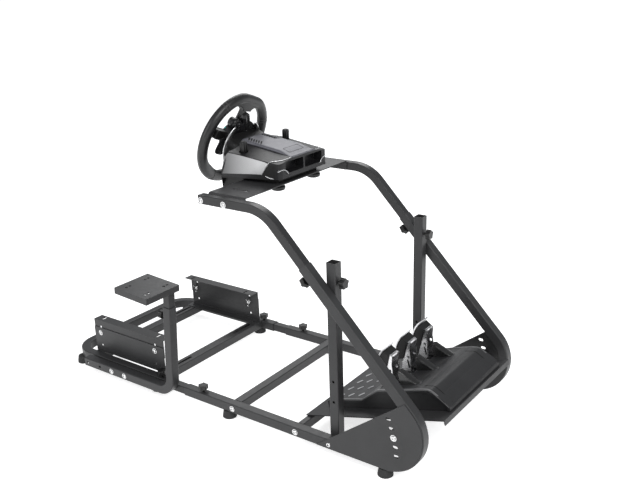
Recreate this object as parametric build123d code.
from build123d import *
import os
from math import atan2, cos, degrees, hypot, radians, sin, tan

# Sim racing cockpit: a floor frame of bent square tubes that telescopes in length, a wheel
# carriage that slides on the two slanted legs, a tilted pedal plate with a three pedal unit,
# seat brackets on two slotted bars and a height adjustable shifter stand.
# All lengths are millimetres. X is to the driver's right, Y to the front, Z up.

# Tubes
tube = 30.0
tube_wall = 1.5
tube_corner = 3.0
slide_gap = 0.5
slide_tube = tube - 2 * tube_wall - 2 * slide_gap
slide_corner = 2.0
through = 60.0

# Base and legs
frame_width = 560.0
foot_height = 25.0
foot_radius = 22.0
foot_top_radius = 18.5
foot_rim = 5.0
foot_edge = 1.0
frame_feet_y = (-10.0, 552.0)
rear_feet_y = (-700.0, -322.0)
sleeve_rear_y = -187.0
front_reach = 675.0
bend_radius = 104.0
leg_angle = 46.14
leg_length = 474.0
plate_steel = 3.0

# Wheel carriage
arm_height = 695.0
arm_bend_radius = 120.0
arm_rear_y = -58.0
arm_insert = 165.0
wheel_plate_front_y = 96.0
wheel_plate_rear_y = -40.0
wheel_plate_flange = 30.0
wheel_plate_rise = 5.0
wheel_plate_slot_width = 9.0
wheel_plate_slot_length = 60.0
wheel_plate_slot_reach = 190.0
wheel_plate_bend = 6.0

# Cross tubes and posts
mid_tube_y = 15.0
rear_lip_tube_y = 256.0
rear_lip_tube_width = 20.0
post_y = 375.0
post_top = 575.0
post_hole_diameter = 8.0
post_hole_low = 161.0
post_hole_high = 225.0

# Pedal plate
plate_tilt = 15.8
plate_half_width = 206.0
plate_length = 471.0
plate_lip = 14.0
plate_support_y = 583.0
tilt_step = 4.45
tilt_slot_length = 16.0
tilt_slot_width = 9.0
plate_slot_width = 8.0
plate_slot_length = 90.0
plate_slots_x = (-170.0, -70.0, 30.0, 130.0)
plate_slots_y = (120.0, 330.0)
plate_overlap = 3.0

# Gusset plates
gusset_tip_y = 333.0
gusset_top_z = 246.0
gusset_inset = 3.0

# Rear frame
rear_reach = 745.0
rear_bend_radius = 75.0
rear_sleeve_y = -245.0
seat_bar_width = 36.0
seat_bar_front_y = -318.0
seat_bar_rear_y = -623.0
seat_slot_middle = 157.0
seat_slot_length = 96.0
seat_slot_width = 9.0
link_tube_rear = 150.0
link_tube_front = 147.0

# Seat brackets
bracket_outer_x = 246.0
bracket_steel = 2.5
bracket_front_y = -304.0
bracket_rear_y = -642.0
bracket_low_height = 91.0
bracket_high_top = 118.0
bracket_high_height = 64.0
bracket_flange = 36.0
bracket_bolts_y = (-611.0, -345.0)
bracket_bolt_height = 72.0
bracket_low_hole_height = 25.0
bracket_hole_diameter = 8.0
bracket_slot_length = 34.0
bracket_cross_slot = 22.0
bracket_bolt_share = 0.6

# Shifter stand
stand_spacer = 5.0
stand_spacer_radius = 9.0
stand_bolts_y = (-493.0, -430.0)
stand_holes_y = (-615.0, -553.0)
stand_hole_diameter = 9.0
stand_rear_y = -630.0
stand_front_y = -196.0
stand_bend_radius = 52.0
stand_lean = 4.0
stand_top = 340.0
post_insert = 150.0
tray_top = 412.0
tray_size = 136.0
tray_flange = 20.0
tray_hole_rows = 80.0
tray_hole_columns = (62.0, 90.0)
tray_hole_radius = 4.5
tray_inner_reach = 23.0
tray_front_reach = 23.0

# Steering wheel, turned as it stands at rest
wheel_x = -15.0
wheel_y = -172.0
wheel_above_plate = 93.0
wheel_rake = 22.0
wheel_turn = 20.0
rim_radius = 134.5
rim_thickness = 34.0
rim_depth = 31.0
spoke_width = 46.0
spoke_waist = 34.0
spoke_waist_shift = 18.0
spoke_steel = 5.0
spoke_set_back = 8.0
spoke_inset = 6.0
spoke_turns = (0.0, 90.0, 180.0)
hub_radius = 40.0
hub_face_height = 9.0
cover_depth = 32.0
cover_lobe_reach = 44.0
cover_lobe_radius = 22.0
pod_radius = 15.0
pod_reach = 62.0
pod_turn = 50.0
column_radius = 30.0
column_gap = 0.4
paddle_size = (46.0, 54.0)
paddle_corner = 14.0
paddle_steel = 3.0
paddle_reach = 74.0
paddle_drop = 28.0
paddle_arm_width = 18.0
paddle_arm_corner = 6.0
paddle_arm_shift = 8.0

# Drive housing behind the wheel
base_half_width = 133.0
base_front_half_width = 118.0
base_front_y = 103.0
base_top_y = -98.0
base_rear_top_above_plate = 99.0
base_front_top_above_plate = 72.0
base_top_half_width = 57.0
base_shoulder_rear_above_plate = 84.0
base_shoulder_front_above_plate = 61.0
base_side_low_above_plate = -3.0
base_front_low_above_plate = 17.0
base_foot_inset = 24.0
base_edge = 16.0
chin_low_above_plate = -37.0
chin_half_width = 110.0
chin_gap = 3.0
bay_half_width = 43.0
bay_rib = 7.0
bay_depth = 30.0
bay_height = 34.0
bay_low_above_plate = 30.0
bay_corner = 5.0
hood_front = 88.0
hood_rear = 33.0
hood_radius = 77.0
hood_crown = 35.0
hood_shoulder = (118.0, 27.0)
hood_side = (133.0, -12.0)
hood_low_side = (131.0, -54.0)
hood_chin = (104.0, -114.0)
hood_base = -121.0

# Table clamps of the drive housing
clamp_reach = 102.0
clamp_knob_y = -42.0
clamp_knob_radius = 11.0
clamp_knob_top_above_plate = 114.0
clamp_knob_low_above_plate = 79.0
clamp_knob_edge = 3.0
clamp_notch_gap = 3.0
clamp_pad_y = 72.0
clamp_pad_width = 52.0
clamp_pad_depth = 44.0
clamp_pad_height = 24.0
clamp_pad_gap = 0.3
clamp_pad_corner = 8.0

# Pedal unit, in the plane of the plate
unit_half_width = 155.0
unit_rear = 52.0
unit_front = 463.0
unit_lift = 0.3
heel_edge = 20.0
heel_height = 28.0
heel_front = 177.0
heel_nose = 12.0
deck_rear = 241.0
deck_height = 58.0
deck_crown = 62.0
deck_end = 352.0
nose_middle = (434.0, 44.0)
nose_height = 12.0
side_recess = 5.0
rim_strip = 9.0
pedal_pitch = 101.0
pedal_middle_x = 4.0
pedal_pivot_along = 262.0
pedal_pivot_height = 46.0
cover_rear = 297.0
cover_front = 358.0
cover_top = 103.0
cover_half = 12.0
cover_nose = (8.0, 4.0)
cover_sink = 10.0
cover_edge = 9.0
cover_edge_height = 17.0
pocket_rear = 236.0
pocket_front = 290.0
pocket_half = 27.0
pocket_floor = 22.0
lug_half = 11.0
lug_radius = 9.0
pin_radius = 4.0
pin_half = 22.0
pin_clearance = 0.08

# Pedals: widths, then places along and above the plate, counted from the pivot
fork_gap_half = 17.0
fork_steel = 3.0
fork_cut = 60.0
web_start = 16.0
face_half_width = 27.0
face_steel = 5.0
backing_half_width = 24.0
backing_gap = 0.3
arm_hole = (17.5, 59.0)
arm_hole_radius = 4.5
arm_rear = (-13.0, 0.0)
arm_low_rear = (-7.0, -11.0)
arm_low_front = (7.0, -11.0)
arm_front = (14.0, 2.0)
arm_shin = (18.5, 31.0)
arm_bulge = (25.5, 60.0)
arm_neck = (26.5, 74.0)
arm_head_front = (36.0, 101.0)
arm_head_rear = (28.5, 105.5)
arm_knee = (-17.5, 18.5)
face_low = (-26.0, 56.0)
face_middle = (-11.0, 101.0)
face_top = (19.0, 130.0)
backing_top = (14.0, 120.0)
backing_head = 104.0

# Star knobs
knob_radius = 16.0
knob_lobes = 5
knob_lobe_radius = 5.0
knob_waist = 3.0
knob_edge = 1.2
knob_height = 14.0
knob_stem_radius = 4.0
knob_stem = 9.0
base_knob_y = -116.0
rear_knob_y = -299.0
leg_knob_inset = 32.0
post_knob_drop = 55.0
stand_knob_drop = 35.0

half = frame_width / 2
tube_x = half - tube / 2
inner_x = half - tube
base_z = foot_height + tube / 2
tube_top = foot_height + tube

os.makedirs("parts", exist_ok=True)
PARTS = {}


def keep(name, shape):
    """Keep a finished shape under its node name."""
    PARTS[name] = shape


def hollow(width, height, wall, corner):
    """The section of a hollow rectangular tube."""
    outside = RectangleRounded(width, height, corner)
    inside = RectangleRounded(width - 2 * wall, height - 2 * wall, max(corner - wall, 0.5))
    return outside - inside


def bent_tube(points, radius, size, corner):
    """A hollow square tube along straight runs with bends."""
    path = FilletPolyline(*points, radius=radius)
    start = path.position_at(0)
    heading = path.tangent_at(0)
    side = Vector(1, 0, 0) if abs(heading.X) < 0.9 else Vector(0, 0, 1)
    plane = Plane(origin=start, x_dir=side, z_dir=heading)
    return sweep(plane * hollow(size, size, tube_wall, corner), path=path)


def straight_tube(start, end, width, height, corner, side=(1, 0, 0)):
    """A hollow rectangular tube between two points."""
    run = Vector(*end) - Vector(*start)
    plane = Plane(origin=start, x_dir=side, z_dir=run)
    return extrude(plane * hollow(width, height, tube_wall, corner), run.length)


def round_bar(centre, axis, radius, length):
    """A solid round bar centred on a point, along an axis."""
    plane = Plane(origin=centre, z_dir=axis)
    return extrude(plane * Circle(radius), length / 2, both=True)


def mirrored(shape):
    """The same shape on the other side of the middle plane."""
    return mirror(shape, about=Plane.YZ)


def star_knob(seat, axis, stem):
    """A five lobed clamping knob whose stem stands on a seat point."""
    plane = Plane(origin=seat, z_dir=axis)
    disc = Circle(knob_radius - knob_waist)
    lobes = Sketch() + [
        spot * Circle(knob_lobe_radius)
        for spot in PolarLocations(knob_radius - knob_lobe_radius, knob_lobes)]
    head = extrude(plane.offset(stem) * (disc + lobes), knob_height)
    head = fillet(head.faces().sort_by(Axis(seat, axis))[-1].edges(), knob_edge)
    shaft = extrude(plane * Circle(knob_stem_radius), stem)
    return head + shaft


def foot(x, y):
    """A rubber foot with a wider lower rim."""
    with BuildPart() as body:
        with BuildSketch(Plane.XZ):
            with BuildLine():
                Polyline(
                    (0, 0), (foot_radius - foot_edge, 0), (foot_radius, foot_edge), (foot_radius, foot_rim),
                    (foot_top_radius, foot_height), (0, foot_height), (0, 0),
                )
            make_face()
        revolve(axis=Axis.Z)
    return Pos(x, y, 0) * body.part


# The slanted leg line, in the plane of a side frame
front_centre_y = front_reach - bend_radius - tube / 2
leg_turn = 180 - leg_angle
corner_reach = bend_radius * tan(radians(leg_turn / 2))
corner_y = front_centre_y + corner_reach
leg_up = Vector(0, -cos(radians(leg_angle)), sin(radians(leg_angle)))
leg_out = Vector(0, sin(radians(leg_angle)), cos(radians(leg_angle)))


def leg_point(distance, x=0.0):
    """A point on the leg's centre line, counted from the corner of the bend."""
    return Vector(x, corner_y, base_z) + leg_up * distance


leg_end = corner_reach + leg_length


def leg_distance(z):
    """The distance along the leg at which its centre line is at a height."""
    return (z - base_z) / sin(radians(leg_angle))


# Side frames
def side_frame(x):
    """One side: base tube, front bend and slanted leg in one bent tube."""
    points = [(x, sleeve_rear_y, base_z), (x, corner_y, base_z), tuple(leg_point(leg_end, x))]
    return bent_tube(points, bend_radius, tube, tube_corner)


right_frame = side_frame(tube_x)
keep("side_frame_right", right_frame)
keep("side_frame_left", mirrored(right_frame))

# Cross tubes between the side frames
keep("mid_cross_tube", straight_tube(
    (-inner_x, mid_tube_y, base_z), (inner_x, mid_tube_y, base_z), tube, tube, tube_corner, (0, 1, 0)))
keep("front_cross_tube", straight_tube(
    (-inner_x, rear_lip_tube_y, base_z), (inner_x, rear_lip_tube_y, base_z),
    rear_lip_tube_width, tube, tube_corner, (0, 1, 0)))

# Pedal plate, laid on the front cross tube and on a support tube between the gussets
tilt = radians(plate_tilt)
hinge_y = rear_lip_tube_y - rear_lip_tube_width / 2
hinge_z = tube_top
plate_along = Vector(0, cos(tilt), sin(tilt))
plate_normal = Vector(0, -sin(tilt), cos(tilt))
plate_under = Vector(0, hinge_y - plate_overlap, hinge_z - plate_overlap * tan(tilt))
plate_top = plate_under + plate_normal * plate_steel
plate_plane = Plane(origin=plate_top, x_dir=(1, 0, 0), z_dir=plate_normal)


def on_plate(shape):
    """Move a shape from the plate's own axes into place."""
    return plate_plane.location * shape


support_along = (plate_support_y - plate_under.Y) / cos(tilt)
support_centre = plate_under + plate_along * support_along - plate_normal * (tube / 2)
support_end = support_centre - Vector(half, 0, 0)
support_plane = Plane(origin=support_end, x_dir=plate_along, z_dir=(1, 0, 0))
support_tube = extrude(support_plane * hollow(tube, tube, tube_wall, tube_corner), frame_width)
keep("plate_support_tube", support_tube)

plate_width = 2 * plate_half_width
sheet = Pos(0, plate_length / 2, -plate_steel / 2) * Box(plate_width, plate_length, plate_steel)
lip_y = plate_length - plate_steel / 2
lip = Pos(0, lip_y, -plate_lip / 2) * Box(plate_width, plate_steel, plate_lip)
plate_slots = Sketch() + [
    Pos(x, y) * SlotOverall(plate_slot_length, plate_slot_width, rotation=90)
    for x in plate_slots_x for y in plate_slots_y
]
plate_cut = extrude(plate_slots, through, both=True)
keep("pedal_plate", on_plate(sheet + lip - plate_cut))


# Gusset plates on the outer faces of the side frames
def gusset():
    """The right side gusset, with its row of tilt slots."""
    centre = Vector(0, front_centre_y, foot_height + tube / 2 + bend_radius)
    radius = bend_radius + tube / 2 - gusset_inset
    top_out = leg_out * radius
    tangent = centre + top_out
    rise = (gusset_top_z - tangent.Z) / sin(radians(leg_angle))
    top = tangent + leg_up * rise
    low = centre.Z - radius
    with BuildSketch(Plane.YZ.offset(half)) as outline:
        with BuildLine():
            first = Line((gusset_tip_y, low), (centre.Y, low))
            bend = CenterArc((centre.Y, centre.Z), radius, -90, 180 - leg_angle)
            rest = Line(bend @ 1, (top.Y, top.Z))
            Line(rest @ 1, first @ 0)
        make_face()
    plate = extrude(outline.sketch, plate_steel)
    reach = support_centre - Vector(0, hinge_y, hinge_z)
    middle = degrees(atan2(reach.Z, reach.Y))
    distance = hypot(reach.Y, reach.Z)
    for step in range(-2, 3):
        angle = radians(middle + step * tilt_step)
        y = hinge_y + distance * cos(angle)
        z = hinge_z + distance * sin(angle)
        plane = Plane(origin=(half, y, z), x_dir=(0, 1, 0), z_dir=(1, 0, 0))
        slot = plane * SlotOverall(tilt_slot_length, tilt_slot_width)
        plate -= extrude(slot, through, both=True)
    return plate


right_gusset = gusset()
keep("gusset_right", right_gusset)
keep("gusset_left", mirrored(right_gusset))


# Upright sockets inside the side frames
def upright(x):
    """An open topped upright with two cross holes."""
    body = straight_tube((x, post_y, foot_height), (x, post_y, post_top), tube, tube, tube_corner)
    for z in (post_hole_low, post_hole_high):
        body -= round_bar((x, post_y, z), (1, 0, 0), post_hole_diameter / 2, tube * 2)
    return body


upright_x = inner_x - tube / 2
right_upright = upright(upright_x)
keep("upright_right", right_upright)
keep("upright_left", mirrored(right_upright))

# Feet
keep("frame_feet", Compound([foot(s * tube_x, y) for s in (-1, 1) for y in frame_feet_y]))
keep("rear_feet", Compound([foot(s * tube_x, y) for s in (-1, 1) for y in rear_feet_y]))

# Clamping knobs on the sleeves
leg_knob_seat = leg_point(leg_end - leg_knob_inset) - leg_out * (tube / 2)
frame_knobs = []
for side in (-1, 1):
    frame_knobs.append(star_knob((side * tube_x, base_knob_y, tube_top), (0, 0, 1), knob_stem))
    frame_knobs.append(star_knob(
        (side * tube_x, leg_knob_seat.Y, leg_knob_seat.Z), tuple(-leg_out), knob_stem))
    frame_knobs.append(star_knob(
        (side * upright_x, post_y + tube / 2, post_top - post_knob_drop), (0, 1, 0), knob_stem))
keep("frame_knobs", Compound(frame_knobs))

# Link tubes between the front and rear halves of the base
right_link = straight_tube(
    (tube_x, rear_sleeve_y - link_tube_rear, base_z),
    (tube_x, sleeve_rear_y + link_tube_front, base_z), slide_tube, slide_tube, slide_corner)
keep("link_tube_right", right_link)
keep("link_tube_left", mirrored(right_link))

# Rear frame: a flat bent tube, two slotted bars and the seat brackets
rear_line_y = -rear_reach + tube / 2
keep("rear_loop_tube", bent_tube(
    [(tube_x, rear_sleeve_y, base_z), (tube_x, rear_line_y, base_z),
     (-tube_x, rear_line_y, base_z), (-tube_x, rear_sleeve_y, base_z)],
    rear_bend_radius, tube, tube_corner))


def seat_bar(y):
    """A cross bar with a long slot at each end, cut through its top and bottom."""
    body = straight_tube(
        (-inner_x, y, base_z), (inner_x, y, base_z), seat_bar_width, tube, tube_corner, (0, 1, 0))
    for s in (-1, 1):
        slot = Pos(s * seat_slot_middle, y, base_z) * SlotOverall(seat_slot_length, seat_slot_width)
        body -= extrude(slot, tube, both=True)
    return body


keep("seat_bar_front", seat_bar(seat_bar_front_y))
keep("seat_bar_rear", seat_bar(seat_bar_rear_y))


def angle_plate(outer_x, low, high, flange_low):
    """An angle of sheet steel: an upright web with one flange turned inwards."""
    length = bracket_front_y - bracket_rear_y
    middle_y = (bracket_front_y + bracket_rear_y) / 2
    web_place = Pos(outer_x - bracket_steel / 2, middle_y, (low + high) / 2)
    web = web_place * Box(bracket_steel, length, high - low)
    flange_z = low + bracket_steel / 2 if flange_low else high - bracket_steel / 2
    flange_place = Pos(outer_x - bracket_flange / 2, middle_y, flange_z)
    flange = flange_place * Box(bracket_flange, length, bracket_steel)
    return web + flange


def bracket_low():
    """The lower right bracket half, bolted on the seat bars."""
    low = tube_top
    body = angle_plate(bracket_outer_x, low, low + bracket_low_height, True)
    for y in bracket_bolts_y:
        for z in (low + bracket_bolt_height, low + bracket_low_hole_height):
            body -= round_bar((bracket_outer_x, y, z), (1, 0, 0), bracket_hole_diameter / 2, tube)
    bolt_x = bracket_outer_x - bracket_flange * bracket_bolt_share
    for y in (seat_bar_front_y, seat_bar_rear_y):
        body -= round_bar((bolt_x, y, low), (0, 0, 1), bracket_hole_diameter / 2, tube)
    return body


def bracket_high():
    """The upper right bracket half, with upright slots for its height."""
    top = tube_top + bracket_high_top
    outer = bracket_outer_x - bracket_steel
    body = angle_plate(outer, top - bracket_high_height, top, False)
    slot_z = tube_top + bracket_bolt_height + bracket_slot_length / 2 - bracket_hole_diameter
    across_x = outer - bracket_flange * bracket_bolt_share
    for y in bracket_bolts_y:
        plane = Plane(origin=(outer, y, slot_z), x_dir=(0, 0, 1), z_dir=(1, 0, 0))
        upright_slot = plane * SlotOverall(bracket_slot_length, bracket_hole_diameter)
        body -= extrude(upright_slot, tube / 2, both=True)
        across = Pos(across_x, y, top) * SlotOverall(bracket_cross_slot, bracket_hole_diameter)
        body -= extrude(across, tube / 2, both=True)
    return body


for node, shape in (("bracket_lower", bracket_low()), ("bracket_upper", bracket_high())):
    keep(node + "_right", shape)
    keep(node + "_left", mirrored(shape))

# Shifter stand on the outside of the rear frame
stand_x = half + stand_spacer + tube / 2
lean = radians(stand_lean)
stand_up = Vector(0, sin(lean), cos(lean))
stand_corner = Vector(stand_x, stand_front_y - (stand_top - base_z) * tan(lean), base_z)
stand_head = stand_corner + stand_up * ((stand_top - base_z) / cos(lean))
stand = bent_tube(
    [(stand_x, stand_rear_y, base_z), tuple(stand_corner), tuple(stand_head)],
    stand_bend_radius, tube, tube_corner)
for y in stand_bolts_y:
    spacer_middle = (half + stand_spacer / 2, y, base_z)
    stand += round_bar(spacer_middle, (1, 0, 0), stand_spacer_radius, stand_spacer)
for y in stand_holes_y:
    stand -= round_bar((stand_x + tube / 2, y, base_z), (1, 0, 0), stand_hole_diameter / 2, tube)
keep("shifter_stand", stand)
stand_back = Vector(0, -cos(lean), sin(lean))
stand_knob_seat = stand_head - stand_up * stand_knob_drop + stand_back * (tube / 2)
rear_knobs = [
    star_knob((side * tube_x, rear_knob_y, tube_top), (0, 0, 1), knob_stem) for side in (-1, 1)]
rear_knobs.append(star_knob(tuple(stand_knob_seat), tuple(stand_back), knob_stem))
keep("rear_knobs", Compound(rear_knobs))

post_low = stand_head - stand_up * post_insert
tray_rise = (tray_top - stand_top) / cos(lean)
tray_plane = Plane(origin=stand_head + stand_up * tray_rise, x_dir=(1, 0, 0), z_dir=stand_up)
post_length = post_insert + tray_rise - plate_steel
post_plane = Plane(origin=post_low, x_dir=(1, 0, 0), z_dir=stand_up)
post_section = post_plane * hollow(slide_tube, slide_tube, tube_wall, slide_corner)
keep("shifter_post", extrude(post_section, post_length))
tray_middle = Pos(tray_size / 2 - tray_inner_reach, tray_front_reach - tray_size / 2, 0)
tray_box = Pos(0, 0, -tray_flange / 2) * Box(tray_size, tray_size, tray_flange)
tray = offset(tray_box, amount=-plate_steel, openings=tray_box.faces().sort_by(Axis.Z)[0])
tray_holes = Sketch() + [
    spot * Circle(tray_hole_radius)
    for column in tray_hole_columns for spot in GridLocations(column, tray_hole_rows, 2, 2)]
tray -= extrude(tray_holes, tray_flange, both=True)
keep("shifter_tray", tray_plane.location * tray_middle * tray)

# Wheel carriage arms
arm_corner_distance = leg_distance(arm_height)
arm_corner = leg_point(arm_corner_distance)
arm_low = leg_point(leg_end - arm_insert)
right_arm = bent_tube(
    [(tube_x, arm_low.Y, arm_low.Z), (tube_x, arm_corner.Y, arm_corner.Z),
     (tube_x, arm_rear_y, arm_height)],
    arm_bend_radius, slide_tube, slide_corner)
keep("arm_right", right_arm)
keep("arm_left", mirrored(right_arm))

# Wheel plate, a channel between the arms
arm_inner_x = tube_x - slide_tube / 2
plate_z = arm_height + slide_tube / 2 + wheel_plate_rise
wheel_z = plate_z + wheel_above_plate
base_rear_top_z = plate_z + base_rear_top_above_plate
base_front_top_z = plate_z + base_front_top_above_plate
base_shoulder_rear_z = plate_z + base_shoulder_rear_above_plate
base_shoulder_front_z = plate_z + base_shoulder_front_above_plate
base_side_low_z = plate_z + base_side_low_above_plate
base_front_low_z = plate_z + base_front_low_above_plate
chin_low_z = plate_z + chin_low_above_plate
bay_low_z = plate_z + bay_low_above_plate
clamp_knob_top_z = plate_z + clamp_knob_top_above_plate
clamp_knob_low_z = plate_z + clamp_knob_low_above_plate
plate_depth = wheel_plate_front_y - wheel_plate_rear_y
plate_mid_y = (wheel_plate_front_y + wheel_plate_rear_y) / 2
channel = Pos(0, plate_mid_y, plate_z - wheel_plate_flange / 2) * Box(
    2 * arm_inner_x, plate_depth, wheel_plate_flange)
channel = fillet(channel.edges().filter_by(Axis.Y).group_by(Axis.Z)[-1], wheel_plate_bend)
hollow_part = Pos(0, plate_mid_y, plate_z - wheel_plate_flange / 2 - plate_steel) * Box(
    2 * (arm_inner_x - plate_steel), plate_depth, wheel_plate_flange)
channel -= hollow_part
slot_shape = SlotOverall(wheel_plate_slot_length, wheel_plate_slot_width, rotation=90)
wheel_slots = Sketch() + [
    Pos(s * wheel_plate_slot_reach, plate_mid_y, plate_z) * slot_shape for s in (-1, 1)
]
channel -= extrude(wheel_slots, wheel_plate_flange, both=True)
keep("wheel_plate", channel)

# Wheel unit: its planes lean with the steering wheel
rake = radians(wheel_rake)
rim_axis = Vector(0, cos(rake), -sin(rake))
rim_plane = Plane(origin=(wheel_x, wheel_y, wheel_z), x_dir=(1, 0, 0), z_dir=-rim_axis)
hood_plane = rim_plane.offset(-hood_front)


def hood_outline():
    """The hood's front outline, where it meets the housing."""
    with BuildSketch(hood_plane) as outline:
        with BuildLine():
            right = Spline((base_top_half_width, hood_crown), hood_shoulder, hood_side,
                           hood_low_side, hood_chin)
            left = mirror(right, about=Plane.YZ)
            Line(left @ 0, right @ 0)
            ThreePointArc(right @ 1, (0, hood_base), left @ 1)
        make_face()
    return outline.sketch


# The hood: a round collar behind the wheel that widens into the housing
hood = loft([rim_plane.offset(-hood_rear) * Circle(hood_radius), hood_outline()])
keep("base_bezel", hood)


def housing_section(y, top_z, shoulder_z, low_z, side):
    """One cross-section of the drive housing."""
    return Plane.XZ.offset(-y) * Polygon(
        (wheel_x - base_top_half_width, top_z), (wheel_x + base_top_half_width, top_z),
        (wheel_x + side, shoulder_z), (wheel_x + side, low_z),
        (wheel_x - side, low_z), (wheel_x - side, shoulder_z), align=None)


def housing():
    """The drive housing, narrowed to the front, with its foot, chin and cable bays."""
    rear_y = wheel_y
    slope = (base_rear_top_z - base_front_top_z) / (base_front_y - base_top_y)
    rise = slope * (base_top_y - rear_y)
    rear_section = housing_section(
        rear_y, base_rear_top_z + rise, base_shoulder_rear_z + rise, base_side_low_z, base_half_width)
    front_section = housing_section(
        base_front_y, base_front_top_z, base_shoulder_front_z, base_front_low_z, base_front_half_width)
    shape = loft([rear_section, front_section], ruled=True)
    corners = shape.faces().sort_by(Axis.Y)[-1].edges().filter_by(Axis.Z)
    shape = fillet(corners, base_edge)
    foot_half = base_front_half_width - base_foot_inset
    foot_front = base_front_y - base_foot_inset
    foot_middle = Pos(wheel_x, (chin_y + foot_front) / 2, (plate_z + base_front_low_z) / 2)
    shape += foot_middle * Box(2 * foot_half, foot_front - chin_y, base_front_low_z - plate_z)
    chin_middle = Pos(wheel_x, (rear_y + chin_y) / 2, (chin_low_z + base_front_low_z) / 2)
    shape += chin_middle * Box(2 * chin_half_width, chin_y - rear_y, base_front_low_z - chin_low_z)
    for side in (-1, 1):
        bay_x = wheel_x + side * (bay_half_width + bay_rib / 2)
        bay = Pos(bay_x, base_front_y, bay_low_z + bay_height / 2) * Box(
            2 * bay_half_width, 2 * bay_depth, bay_height)
        shape -= fillet(bay.edges().filter_by(Axis.Y), bay_corner)
        notch_middle = (wheel_x + side * clamp_reach, clamp_knob_y, clamp_knob_low_z + through / 2)
        shape -= round_bar(notch_middle, (0, 0, 1), clamp_knob_radius + clamp_notch_gap, through)
    behind = hood_plane * Rectangle(4 * base_half_width, 4 * base_half_width)
    return shape - extrude(behind, 2 * base_half_width)


chin_y = wheel_plate_rear_y - chin_gap
keep("wheel_base", housing())


# Steering wheel
def in_wheel(shape):
    """Move a shape from the turned wheel's own axes into place."""
    return rim_plane.location * Rot(0, 0, wheel_turn) * shape


def ring():
    """The rim, an ellipse swept round the wheel's axis."""
    section = Plane.XZ * Pos(rim_radius, 0) * Ellipse(rim_thickness / 2, rim_depth / 2)
    return revolve(section, axis=Axis.Z)


def spoke(turn):
    """A flat spoke, waisted between the hub and the rim."""
    outer = rim_radius - spoke_inset
    waist = outer / 2 + spoke_waist_shift
    edge = spoke_width / 2
    with BuildSketch(Plane.XY.offset(spoke_set_back)) as outline:
        with BuildLine():
            upper = ThreePointArc((0, edge), (waist, spoke_waist / 2), (outer, edge))
            lower = ThreePointArc((0, -edge), (waist, -spoke_waist / 2), (outer, -edge))
            Line(upper @ 0, lower @ 0)
            Line(upper @ 1, lower @ 1)
        make_face()
    return Rot(0, 0, turn) * extrude(outline.sketch, spoke_steel)


cover_back = spoke_set_back - cover_depth
wheel_ring = ring()
hub = Pos(0, 0, spoke_set_back) * extrude(Circle(hub_radius), spoke_steel + hub_face_height)
for turn in spoke_turns:
    hub += spoke(turn)
back_outline = make_hull(Compound([
    Rot(0, 0, turn) * Pos(cover_lobe_reach, 0) * Circle(cover_lobe_radius)
    for turn in spoke_turns]).edges())
back_cover = Pos(0, 0, cover_back) * extrude(back_outline, cover_depth)
pod = Rot(0, 0, pod_turn) * Pos(pod_reach, 0, cover_back) * extrude(Circle(pod_radius), cover_depth)
column_length = hood_rear - column_gap + cover_back
column = Pos(0, 0, cover_back - column_length) * extrude(Circle(column_radius), column_length)
hub = hub + back_cover + pod + column
keep("wheel_rim", in_wheel(wheel_ring))
keep("wheel_hub", in_wheel(hub - wheel_ring))


def paddle():
    """The right shift paddle with the arm that holds it on the hub's back cover."""
    plate = Pos(paddle_reach, -paddle_drop) * RectangleRounded(*paddle_size, paddle_corner)
    arm_shape = RectangleRounded(paddle_reach, paddle_arm_width, paddle_arm_corner)
    arm = Pos(paddle_reach / 2 + paddle_arm_shift, -paddle_drop / 2) * arm_shape
    return Pos(0, 0, cover_back - paddle_steel) * extrude(plate + arm, paddle_steel)


right_paddle = paddle() - column
left_paddle = mirrored(right_paddle)
keep("shift_paddles", Compound([in_wheel(right_paddle), in_wheel(left_paddle)]))

# Clamps that hold the housing on the plate
clamps = []
for side in (-1, 1):
    x = wheel_x + side * clamp_reach
    pad_z = plate_z - plate_steel - clamp_pad_gap - clamp_pad_height / 2
    pad = Pos(x, clamp_pad_y, pad_z) * Box(clamp_pad_width, clamp_pad_depth, clamp_pad_height)
    clamps.append(fillet(pad.edges().filter_by(Axis.Z), clamp_pad_corner))
    knob_middle = (clamp_knob_top_z + clamp_knob_low_z) / 2
    knob = round_bar((x, clamp_knob_y, knob_middle), (0, 0, 1), clamp_knob_radius,
                     clamp_knob_top_z - clamp_knob_low_z)
    clamps.append(fillet(knob.edges().sort_by(Axis.Z)[-1], clamp_knob_edge))
keep("base_clamps", Compound(clamps))


# Pedal unit, built in the plane of the plate
def pedal_x(index):
    """The sideways place of a pedal: 0 left, 1 middle, 2 right."""
    return pedal_middle_x + (index - 1) * pedal_pitch


def unit_profile(lift, inset):
    """The side outline of the pedal unit, optionally drawn in from its edges."""
    with BuildSketch(Plane.YZ) as side:
        with BuildLine():
            rear = Polyline(
                (unit_front - inset, lift), (unit_rear + inset, lift),
                (unit_rear + inset, heel_edge - inset), (unit_rear + heel_nose, heel_height - inset),
                (heel_front, heel_height - inset), (deck_rear, deck_height - inset),
                (deck_end, deck_crown - inset))
            crown = ThreePointArc(
                rear @ 1, (nose_middle[0], nose_middle[1] - inset), (unit_front - inset, nose_height))
            Line(crown @ 1, rear @ 0)
        make_face()
    return side.sketch


def spring_cover(x):
    """The wedge shaped cover behind a pedal, rounded along its two upper edges."""
    low_z = deck_height - cover_sink
    outline = Plane.YZ.offset(x) * Polygon(
        (cover_rear, low_z), (cover_rear, cover_top - cover_nose[1]),
        (cover_rear + cover_nose[0], cover_top), (cover_front, deck_height + 1),
        (cover_front, low_z), align=None)
    cover = extrude(outline, cover_half, both=True)
    upper = cover.edges().filter_by(
        lambda e: e.center().Z > deck_height + cover_edge_height
        and abs(abs(e.center().X - x) - cover_half) < 0.1)
    return fillet(upper, cover_edge)


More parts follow.
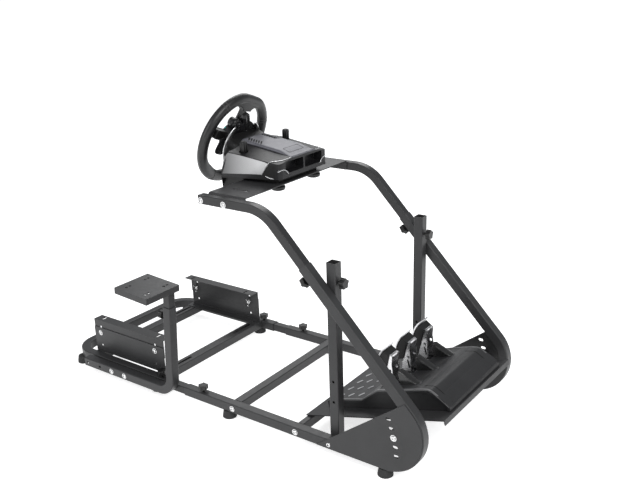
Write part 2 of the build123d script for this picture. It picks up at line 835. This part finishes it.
def pedal_housing():
    """The pedal unit's moulded housing with heel rest, deck and spring covers."""
    shape = extrude(unit_profile(unit_lift, 0), unit_half_width, both=True)
    side_outline = unit_profile(-unit_lift, rim_strip)
    for side in (-1, 1):
        shape -= extrude(Pos(side * unit_half_width, 0, 0) * side_outline, side_recess, both=True)
    for index in range(3):
        x = pedal_x(index)
        shape += spring_cover(x)
        pocket = Pos(x, (pocket_rear + pocket_front) / 2, deck_height) * Box(
            pocket_half * 2, pocket_front - pocket_rear, 2 * (deck_height - pocket_floor))
        shape -= pocket
        pivot = (x, pedal_pivot_along, pedal_pivot_height)
        lug_box = Pos(x, pedal_pivot_along, (pocket_floor + pedal_pivot_height) / 2) * Box(
            lug_half * 2, lug_radius * 2, pedal_pivot_height - pocket_floor)
        shape += lug_box + round_bar(pivot, (1, 0, 0), lug_radius, lug_half * 2)
        shape += round_bar(pivot, (1, 0, 0), pin_radius, 2 * pin_half)
    return shape


keep("pedal_housing", on_plate(pedal_housing()))


def pedal_plane(x):
    """The upright plane of a pedal, with its origin on the pivot."""
    return Plane(origin=(x, pedal_pivot_along, pedal_pivot_height), x_dir=(0, 1, 0), z_dir=(1, 0, 0))


def pedal_arm_side(x):
    """The side outline of a pedal arm."""
    return pedal_plane(x) * Polygon(
        arm_rear, arm_low_rear, arm_low_front, arm_front, arm_shin, arm_bulge, arm_neck,
        arm_head_front, arm_head_rear, arm_knee, align=None)


def arm_rear_edge(height):
    """A point just behind the arm's straight rear edge, at a height above the pivot."""
    share = (height - arm_knee[1]) / (arm_head_rear[1] - arm_knee[1])
    return arm_knee[0] + share * (arm_head_rear[0] - arm_knee[0]) - backing_gap, height


def pedal_arm_outline(x):
    """The whole block that a pedal arm fills."""
    return extrude(pedal_arm_side(x), fork_gap_half + fork_steel, both=True)


def pedal_arm(x):
    """A forked arm: two side plates joined by a web, with the pivot holes."""
    outside = pedal_arm_outline(x)
    inside = extrude(Pos(0, fork_steel, 0) * pedal_arm_side(x), fork_gap_half, both=True)
    arm = outside - inside
    arm -= Pos(x, pedal_pivot_along, pedal_pivot_height) * Box(fork_gap_half * 2, fork_cut, 2 * web_start)
    bore = extrude(pedal_plane(x) * Circle(pin_radius + pin_clearance), through, both=True)
    hole = extrude(pedal_plane(x) * Pos(*arm_hole) * Circle(arm_hole_radius), through, both=True)
    return arm - bore - hole


def face_middle_set_back(depth):
    """The middle of the face plate's arc, set back square to its chord."""
    slope = atan2(face_top[1] - face_low[1], face_top[0] - face_low[0])
    return face_middle[0] + depth * sin(slope), face_middle[1] - depth * cos(slope)


def pedal_face(x):
    """The curved face plate, rounded at its corners."""
    with BuildSketch(pedal_plane(x)) as side:
        with BuildLine():
            front = ThreePointArc(face_low, face_middle, face_top)
            back = ThreePointArc(
                (face_low[0] + face_steel, face_low[1]),
                face_middle_set_back(face_steel),
                (face_top[0], face_top[1] - face_steel))
            Line(front @ 0, back @ 0)
            Line(front @ 1, back @ 1)
        make_face()
    return extrude(side.sketch, face_half_width, both=True)


def pedal_backing(x):
    """The dark carrier between the face plate and the arm."""
    set_back = face_steel + backing_gap
    with BuildSketch(pedal_plane(x)) as side:
        with BuildLine():
            front = ThreePointArc(
                (face_low[0] + set_back, face_low[1]),
                face_middle_set_back(set_back),
                backing_top)
            Polyline(front @ 1, arm_rear_edge(backing_head), arm_rear_edge(face_low[1]), front @ 0)
        make_face()
    return extrude(side.sketch, backing_half_width, both=True)


pedal_names = ("clutch", "brake", "throttle")
for index, name in enumerate(pedal_names):
    x = pedal_x(index)
    arm = pedal_arm(x)
    face = pedal_face(x)
    backing = pedal_backing(x) - face - pedal_arm_outline(x)
    keep("pedal_arm_" + name, on_plate(arm))
    keep("pedal_face_" + name, on_plate(face))
    keep("pedal_backing_" + name, on_plate(backing))

# The origin is the middle of the overall outline, on the floor
shapes = Compound(list(PARTS.values()))
outline = shapes.bounding_box()
shift_x = -(outline.min.X + outline.max.X) / 2
shift_y = -(outline.min.Y + outline.max.Y) / 2

for name, shape in PARTS.items():
    export_step(Pos(shift_x, shift_y, 0) * shape, "parts/" + name + ".step")

print("nodes", len(PARTS))
print("shift", round(shift_x, 3), round(shift_y, 3))
print("leg up", tuple(leg_up), "stand up", tuple(stand_up), "rim axis", tuple(rim_axis))
pivot = plate_plane.location * Pos(pedal_middle_x, pedal_pivot_along, pedal_pivot_height)
print("pedal pivot", pivot.position)
